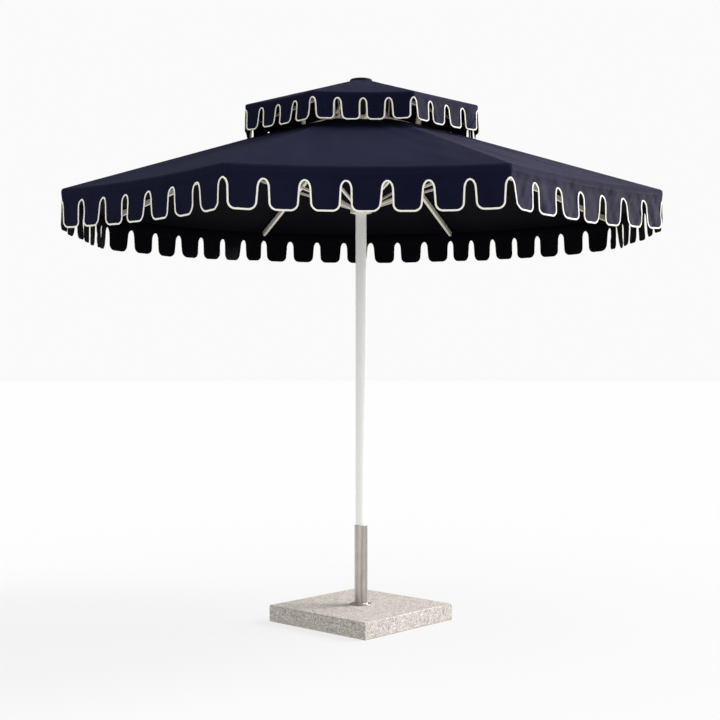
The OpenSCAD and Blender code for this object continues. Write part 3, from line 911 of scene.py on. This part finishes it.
    def place(self, panel: Points, x: Points, down: Points) -> Points:
        """Where a spot of the cloth is in space.

        The panel's profile is a straight slope, an arc over the eave, and a drop straight down. The sides
        sag by a parabola between the ribs, hips are eased by pulling the cloth in by
        tan/cos(22.5) * (sqrt(w^2 + ease^2) - w), with w the distance from the hip, and each side is turned
        about the pole to its own azimuth.

        Args:
            panel: Number of the side, 0 to 8.
            x: Place along the side, measured at the eave.
            down: Length down the cloth from the eave, negative up the slope.

        Returns:
            Points in metres, in the last axis.
        """
        side = x / self.half_side
        past = np.clip((down + self.tangent) / (2 * self.tangent), 0, 1)
        turn = self.slope + past * (QUARTER - self.slope)
        up = np.minimum(down + self.tangent, 0)
        reach = self.apothem - self.roll + self.roll * np.sin(turn) + up * math.cos(self.slope)
        z = self.eave - self.tangent + self.roll * np.cos(turn) - up * math.sin(self.slope)
        z = z - np.maximum(down - self.tangent, 0)
        share = reach / self.apothem
        hip = reach * math.sin(HALF) * (1 - np.abs(side))

        bulge = self.billow_height(panel, side, share) * smooth_step(down, -self.tangent, -self.billow_ease)
        out, along, lower = self.tab_wave(panel, x, down)
        hang = np.clip((down - self.hem) / (self.drop - self.hem), 0, 1)
        out += self.flare * hang**1.5
        out -= self.hem_step * smooth_step(down, self.hem, self.hem + self.hem_width)
        out -= self.waist * np.exp(-(((down - self.waist_at) / self.waist_half) ** 2))
        level = 1 - side**2
        z = z - self.sag * level * share**2 + bulge * math.cos(self.slope) - lower
        y = side * reach * math.tan(HALF) + along
        reach = reach - self.pull * level * share**8 + out + bulge * math.sin(self.slope)

        azimuth = SIDE_TURN * panel
        point = np.stack([reach * np.cos(azimuth) - y * np.sin(azimuth),
                          reach * np.sin(azimuth) + y * np.cos(azimuth), z], axis=-1)
        pulled = math.tan(HALF) / math.cos(HALF) * (np.sqrt(hip**2 + self.ease**2) - hip)
        radius = np.hypot(point[..., 0], point[..., 1])
        point[..., :2] *= (1 - pulled / radius)[..., None]
        return point

    def billow_height(self, panel: Points, side: Points, share: Points) -> Points:
        """Slow waves of the slack cloth: three sines of place, held to zero at the ribs and at mid-panel
        by 6.7 side^2 (1 - side^2)^2, whose greatest value is about 1.

        Args:
            panel: Number of the side, 0 to 8.
            side: Place along the side, -1 to 1.
            share: Distance from the pole as a share of the eave's.

        Returns:
            Height off the flat panel, in metres.
        """
        hold = 6.7 * side**2 * (1 - side**2) ** 2
        total = 0.0
        for (even, fanned, down, size), phase in zip(BILLOWS, self.phase):
            turns = even * side + fanned * side * share + down * share
            total = total + size * np.sin(ROUND * turns + phase[panel])
        return self.billow * hold * total

    def depths(self, low: Points) -> Points:
        """Rows of the grid: even down the slope, close over the eave and the hem, then to the column's end.

        Args:
            low: Depth where each column ends.

        Returns:
            Lengths down the cloth, by row and column.
        """
        slope = np.linspace(-self.run, -self.tangent * 2, self.slope_rows)
        fold = np.linspace(-self.tangent, self.tangent, 7)
        seam = self.hem + np.array([-0.004, 0.0, 0.001, 0.002, self.hem_width])
        upper = np.concatenate([slope, fold, seam])
        share = np.linspace(0, 1, 9)[1:, None]
        band = upper[-1] + (low[None, :] - upper[-1]) * share
        return np.concatenate([np.broadcast_to(upper[:, None], (len(upper), len(low))), band])

    def gore(self, number: int) -> tuple[Points, Points, Points, Points, Points]:
        """The cloth over one rib, from the middle of the side before it to the middle of the side after it.

        Args:
            number: Number of the rib, 1 to 8.

        Returns:
            Points, faces, flat places, distance from the hip and length down the cloth.
        """
        x, low, owner = self.columns()
        before, after = x > -1e-9, x < 1e-9
        panel = np.concatenate([np.full(before.sum(), number - 1), np.full(after.sum() - 1, number)])
        x, low, owner = (np.concatenate([v[before], v[after][1:]]) for v in (x, low, owner))
        down = self.depths(low)
        across = np.broadcast_to(x, down.shape)
        panels = np.broadcast_to(panel, down.shape)
        index = np.arange(down.size).reshape(down.shape)
        parts = [(panels.ravel(), across.ravel(), down.ravel())]
        faces = [sheet_faces(index)]
        count = down.size
        level = np.linspace(self.shoulder, self.drop - self.tab_round, 9)[1:]
        bend = self.drop - self.tab_round + self.tab_round * np.sin(np.linspace(0, QUARTER, 7)[1:])
        level = np.concatenate([level, bend])
        label = np.where(owner < 0, -1, owner + self.tabs * panel)
        edges = np.flatnonzero(np.diff(label, prepend=-2, append=-2))
        for start, end in zip(edges[:-1], edges[1:]):
            if owner[start] < 0:
                continue
            centre = (owner[start] - (self.tabs - 1) / 2) * self.pitch
            place = (x[start:end] - centre) / (self.pitch / 2 - self.arch_half)
            wide = centre + place[None, :] * self.tab_half(level)[:, None]
            deep = np.broadcast_to(level[:, None], wide.shape)
            added = count + np.arange(wide.size).reshape(wide.shape)
            faces.append(sheet_faces(np.concatenate([index[-1:, start:end], added])))
            parts.append((np.full(wide.size, panel[start]), wide.ravel(), deep.ravel()))
            count += wide.size
        panels, across, down = (np.concatenate(p) for p in zip(*parts))
        points = self.place(panels, across, down)
        share = np.clip((self.apothem + np.minimum(down, 0) * math.cos(self.slope)) / self.apothem, 0, 1)
        hip = self.apothem * share * math.sin(HALF) * (1 - np.abs(across) / self.half_side)
        return points, np.concatenate(faces), np.stack([across * share, down], axis=1), hip, down

    def cut_edge(self) -> tuple[Points, Points]:
        """The cut edge along one side, from corner to corner: arch, tab side, round foot and back up.

        Returns:
            Place along the side and depth, for the middle line of the braid.
        """
        turn = np.linspace(0, QUARTER, 10)
        bend = np.linspace(0, QUARTER, 8)
        straight = np.linspace(self.shoulder, self.drop - self.tab_round, 9)[1:]
        foot = self.drop - self.tab_round + self.tab_round * np.sin(bend)[1:]
        width = self.tab_half(np.array([self.drop]))[0]
        rest = np.linspace(-width, 0, 7)[1:]
        x = np.concatenate([-self.pitch / 2 + self.arch_half * np.sin(turn), -self.tab_half(straight),
                            -self.tab_half(foot), rest])
        depth = np.concatenate([self.arch_top + self.arch_rise * (1 - np.cos(turn)), straight, foot,
                                np.full(len(rest), self.drop)])
        x, depth = np.concatenate([x, -x[-2::-1]]), np.concatenate([depth, depth[-2::-1]])
        centres = (np.arange(self.tabs) - (self.tabs - 1) / 2) * self.pitch
        x = np.concatenate([centres[0] + x] + [c + x[1:] for c in centres[1:]])
        depth = np.concatenate([depth] + [depth[1:]] * (self.tabs - 1))
        go_x, go_down = np.gradient(x), np.gradient(depth)
        length = np.hypot(go_x, go_down)
        inset = x + self.braid_inset * go_down / length, depth - self.braid_inset * go_x / length
        inset[0][0], inset[0][-1] = -self.half_side, self.half_side
        return inset

    def braid(self, number: int) -> tuple[Points, list[Points], Points]:
        """The braid on one gore's cut edge: a flattened round profile carried along it, on the outer face.

        Args:
            number: Number of the rib, 1 to 8.

        Returns:
            Points, faces and (along, around) for each point.
        """
        x, depth = self.cut_edge()
        middle = len(x) // 2
        step = self.braid_step
        panel = np.concatenate([np.full(len(x) - middle, number - 1), np.full(middle, number)])
        x = np.concatenate([x[middle:], x[1:middle + 1]])
        depth = np.concatenate([depth[middle:], depth[1:middle + 1]])
        here = self.place(panel, x, depth)
        inward = np.where(np.abs(x) > self.half_side - 2 * step, -np.sign(x), 1.0)
        beside = (self.place(panel, x + step * inward, depth) - here) * inward[:, None]
        below = self.place(panel, x, depth + step) - here
        out = np.cross(below, beside)
        turn = np.linspace(0, ROUND, 11)[:-1]
        shape = [self.braid_half * np.cos(turn), self.braid_off + self.braid_rise * np.sin(turn)]
        return carried_profile(here, out, np.stack(shape, axis=1))

    def build(self, cloth: Material, underside_shade: Material, cord: Material) -> None:
        """Makes the tier's gores and braids, and sets each to move and fold with its rib.

        Args:
            cloth: Material of the outer face.
            underside_shade: Material of the inner face: the canvas darkened, a painted shade under the
                canopy.
            cord: Material of the braid.
        """
        for number in range(1, SIDES + 1):
            body = f"{self.rib}_{number}"
            points, faces, flat, hip, down = self.gore(number)
            gore = make_piece(f"{self.node}_{number}", points, faces)
            put_uv(gore, flat)
            sharpen_border(gore)
            put_values(gore, "hip", hip)
            put_values(gore, "down", down)
            # The inner face wears the canvas darkened with painted shade, for the shade under the canopy.
            for material in (cloth, underside_shade):
                gore.data.materials.append(material)
            thick = gore.modifiers.new("Cloth", "SOLIDIFY")
            thick.thickness, thick.offset, thick.material_offset = self.thickness, -1.0, 1
            line, line_faces, line_flat = self.braid(number)
            braid = make_piece(f"{self.node}_braid_{number}", line, line_faces)
            put_uv(braid, line_flat)
            braid.data.materials.append(cord)
            for piece in (gore, braid):
                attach(piece, body)
                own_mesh(piece)
            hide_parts(self.node)


# ---- The rest of the umbrella ----


@dataclass
class Base:
    """The slab, its steel sleeve, and the weld that joins the sleeve to its flange plate."""

    bead: float = 0.0032
    ripples: int = 74
    ripple_share: float = 0.16
    uneven_share: float = 0.05
    sunk: float = 0.0004

    def weld(self) -> Piece:
        """The weld bead: a half-round profile carried round the sleeve's foot, swelling at each ripple.

        Returns:
            The bead as an object.
        """
        low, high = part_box("ground_sleeve")
        radius, foot = float(high.x) - self.sunk, float(low.z)
        turn = np.linspace(0, ROUND, self.ripples * 5 + 1)[:-1, None]
        arc = np.linspace(0, QUARTER, 6)[None, :]
        ripple = np.abs(np.sin(turn * self.ripples / 2))
        swell = self.bead * (1 + self.ripple_share * ripple + self.uneven_share * np.sin(5 * turn))
        reach = np.concatenate([radius + swell * np.cos(arc), np.full_like(turn, radius)], axis=1)
        rise = np.concatenate([foot + swell * np.sin(arc), np.full_like(turn, foot)], axis=1)
        points = np.stack([reach * np.cos(turn), reach * np.sin(turn), rise], axis=2)
        index = round_grid(*points.shape[:2], rows_too=True)
        faces = turned_out(points.reshape(-1, 3), list(sheet_faces(index)))
        return make_piece("sleeve_weld", points.reshape(-1, 3), faces)

    def build(self, steel: Material, stone: Material, zinc: Material,
              liner: Material) -> None:
        """Makes the weld and dresses the base.

        Args:
            steel: Material of the sleeve, flange and weld.
            stone: Material of the slab.
            zinc: Material of the bolt and washer.
            liner: Material of the plastic liner.
        """
        weld = self.weld()
        weld.data.materials.append(steel)
        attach(weld, "base")
        LOG.info("%s: %d faces", weld.name, len(weld.data.polygons))
        dress_nodes(stone, ["granite_slab"])
        dress_nodes(steel, ["flange_plate", "ground_sleeve"])
        dress_nodes(zinc, ["base_bolt", "base_washer"])
        dress_nodes(liner, ["sleeve_liner"])


@dataclass
class FoldingFrame:
    """The pole, hubs, ribs, struts, props and runner."""

    bars: tuple[str, ...] = ("rib", "strut", "top_rib", "prop")

    def build(self, champagne: Material, white: Material, moulded: Material,
              black: Material, navy: Material, zinc: Material) -> None:
        """Dresses every part of the folding frame.

        Args:
            champagne: Coat of the ribs, struts and props.
            white: Coat of the pole.
            moulded: Plastic of the hubs and the runner.
            black: Plastic of the foot cup.
            navy: Plastic of the cap and the release button.
            zinc: Plated steel of pins, screw and spring.
        """
        dress_nodes(champagne, [f"{bar}_{n}" for bar in self.bars for n in range(1, SIDES + 1)])
        dress_nodes(white, ["pole_tube"])
        dress_nodes(moulded, ["lower_hub", "upper_crown", "runner_body"])
        dress_nodes(black, ["foot_cup"])
        dress_nodes(navy, ["cap", "runner_button"])
        dress_nodes(zinc, ["hub_pins", "crown_pins", "cap_screw", "button_spring"])


@dataclass(frozen=True)
class SoftPanel:
    """A soft bright or dark patch of the room: where it is, how far it reaches in degrees, and its gain."""

    toward: tuple[float, float, float]
    reach: float
    gain: float


@dataclass(frozen=True)
class Lamp:
    """A far soft lamp that shines towards the origin, with its angles in degrees.

    It looks as wide as its spread. Its azimuth runs from +X towards +Y, and its height is above the horizon.
    With a name in only, it lights the cloth of the pieces whose names start so, and nothing else.
    """

    name: str
    power: float
    spread: float
    azimuth: float
    height: float
    tint: tuple[float, float, float] = (1, 1, 1)
    only: str = ""


@dataclass
class Studio:
    """A pale floor, a bright room with soft panels, a soft key light from the right, and the camera."""

    floor_half: float = 60.0
    camera_away: float = 5.913
    camera_height: float = 1.216
    camera_side: float = -0.0046
    camera_turn: float = -0.9
    lens: float = 64.1
    lift: float = -0.0042
    room: float = 0.95
    backdrop: float = 0.956
    floor_glow: float = 0.775
    floor_bounce: float = 0.85
    floor_tones: tuple[float, float] = (0.096, 0.102)
    rings: int = 25
    spokes: int = 64
    lamps: tuple[Lamp, ...] = (
        Lamp("key", 4.0, 30.0, 12.0, 39.0),
        Lamp("skim", 9.5, 10.0, 27.0, 8.0, tint=(1.0, 0.88, 0.80), only="canopy"),
    )
    panels: tuple[SoftPanel, ...] = (
        SoftPanel((0, 0, 1), 62.0, 0.9),
        SoftPanel((0.93, 0.30, 0.2), 50.0, 1.4),
        SoftPanel((-0.12, 0.86, 0.49), 42.0, -0.75),
        SoftPanel((0.46, 0.87, 0.17), 24.0, 2.5),
        SoftPanel((-0.95, -0.25, 0.1), 62.0, -0.50),
    )

    def floor(self) -> Piece:
        """The floor: a disc of rings of points, radius growing by a fixed share from ring to ring.

        Returns:
            The floor as an object.
        """
        radius = np.concatenate([[0.02], np.geomspace(0.3, self.floor_half, self.rings - 1)])[:, None]
        turn = np.linspace(0, ROUND, self.spokes + 1)[None, :-1]
        flat = np.zeros((self.rings, self.spokes))
        points = np.stack([radius * np.cos(turn), radius * np.sin(turn), flat], axis=2)
        index = round_grid(self.rings, self.spokes)
        faces = list(sheet_faces(index)) + [index[0, :-1]]
        return make_piece("studio_floor", points.reshape(-1, 3), faces, smooth=False)

    def floor_material(self) -> Material:
        """A pale floor that glows a little, so that shadows on it stay faint.

        Returns:
            The material.
        """
        material, recipe, surface = new_material("pale_floor")
        place = recipe.add("ShaderNodeTexCoord").outputs["Object"]
        grain = recipe.effect(Effect.GRAIN, Vector=place, Scale=60.0)[0]
        seen = recipe.add("ShaderNodeLightPath").outputs["Is Camera Ray"]
        low, high = ((tone, tone, tone, 1) for tone in self.floor_tones)
        recipe.join(surface, {
            "Base Color": recipe.blend(grain, low, high), "Roughness": 0.9, "Specular IOR Level": 0.0,
            "Emission Color": (1, 1, 1, 1),
            "Emission Strength": recipe.ramp(seen, 0, 1, self.floor_bounce, self.floor_glow)})
        return material

    def room_light(self) -> None:
        """A bright room with soft panels in it, and one near-white level for what the camera sees."""
        world = bpy.data.worlds.new("bright_room")
        world.use_nodes = True
        recipe = Recipe(world.node_tree)
        recipe.tree.nodes.clear()
        toward = recipe.add("ShaderNodeTexCoord").outputs["Generated"]
        level: Any = self.room
        for panel in self.panels:
            near = recipe.add("ShaderNodeVectorMath", {0: toward, 1: panel.toward}, operation="DOT_PRODUCT")
            share = recipe.ramp(near.outputs["Value"], math.cos(math.radians(panel.reach)), 1.0)
            level = recipe.times(share, panel.gain, level)
        seen = recipe.add("ShaderNodeLightPath").outputs["Is Camera Ray"]
        lit = recipe.add("ShaderNodeBackground", {"Color": (1, 1, 1, 1), "Strength": level})
        shown = recipe.add("ShaderNodeBackground", {"Color": (1, 1, 1, 1), "Strength": self.backdrop})
        mixed = recipe.add("ShaderNodeMixShader", {0: seen, 1: lit.outputs[0], 2: shown.outputs[0]})
        recipe.add("ShaderNodeOutputWorld", {"Surface": mixed.outputs[0]})
        bpy.context.scene.world = world

    def hang(self, lamp: Lamp) -> None:
        """Puts a lamp in the scene.

        Args:
            lamp: The lamp.
        """
        light = bpy.data.lights.new(lamp.name, "SUN")
        light.energy, light.color, light.angle = lamp.power, lamp.tint, math.radians(lamp.spread)
        hung = bpy.data.objects.new(lamp.name, light)
        hung.rotation_euler = (0, math.radians(90 - lamp.height), math.radians(lamp.azimuth))
        bpy.context.scene.collection.objects.link(hung)
        hung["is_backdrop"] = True
        if lamp.only:
            lit = bpy.data.collections.new(f"{lamp.name}_lights")
            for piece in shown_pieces():
                if piece.name.startswith(lamp.only) and "braid" not in piece.name:
                    lit.objects.link(piece)
            hung.light_linking.receiver_collection = lit

    def camera(self) -> None:
        """The camera, level, looking along +Y."""
        data = bpy.data.cameras.new("view")
        data.lens, data.sensor_width, data.shift_y = self.lens, 36.0, self.lift
        data.clip_end = 200
        camera = bpy.data.objects.new("view", data)
        turn = math.radians(self.camera_turn)
        camera.location = (self.camera_side * math.cos(turn) + self.camera_away * math.sin(turn),
                           self.camera_side * math.sin(turn) - self.camera_away * math.cos(turn),
                           self.camera_height)
        camera.rotation_euler = (QUARTER, 0, turn)
        bpy.context.scene.collection.objects.link(camera)
        bpy.context.scene.camera = camera

    def build(self) -> None:
        """Sets up the floor, room, lamps, camera and plain tones."""
        floor = self.floor()
        floor.data.materials.append(self.floor_material())
        floor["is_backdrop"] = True
        self.room_light()
        for lamp in self.lamps:
            self.hang(lamp)
        self.camera()
        bpy.context.scene.view_settings.view_transform = "Standard"


def main() -> None:
    """Builds the umbrella's cloth, dresses its parts, and sets up the studio."""
    logging.basicConfig(level=logging.INFO, format="%(message)s")
    cloth, underside_shade, cord = CANVAS.make(), UNDERSIDE_PAINTED_SHADE.make(), BRAID.make()
    zinc = ZINC.make()
    moulded = MOULDED_WHITE.make()
    lower = CanopyTier(node="canopy_main", rib="rib", drop=0.165, opening=0.330, tabs=7, arch_top=0.054,
                       arch_rise=0.034, arch_half=0.018, foot_half=0.0225, tab_round=0.028, sag=0.013,
                       slope_rows=52, keep=0.2, seed=11)
    upper = CanopyTier(node="canopy_top", rib="top_rib", drop=0.117, opening=0.038, tabs=4, arch_top=0.028,
                       arch_rise=0.024, arch_half=0.0125, foot_half=0.0155, tab_round=0.020, sag=0.005,
                       slope_rows=30, keep=0.3, seed=12, wave=0.0032, billow=0.0008, pull=0.003,
                       roll=0.009, ease=0.006, hem=0.018, waist=0.0012, waist_at=0.025, braid_half=0.0032,
                       slack=0.0026)
    for tier in (lower, upper):
        tier.build(cloth, underside_shade, cord)
    Base().build(STAINLESS.make(), GRANITE.make(), zinc, moulded)
    FoldingFrame().build(CHAMPAGNE.make(), OFF_WHITE.make(), moulded, MOULDED_BLACK.make(),
                         MOULDED_NAVY.make(), zinc)
    Studio().build()


if __name__ == "__main__":
    main()
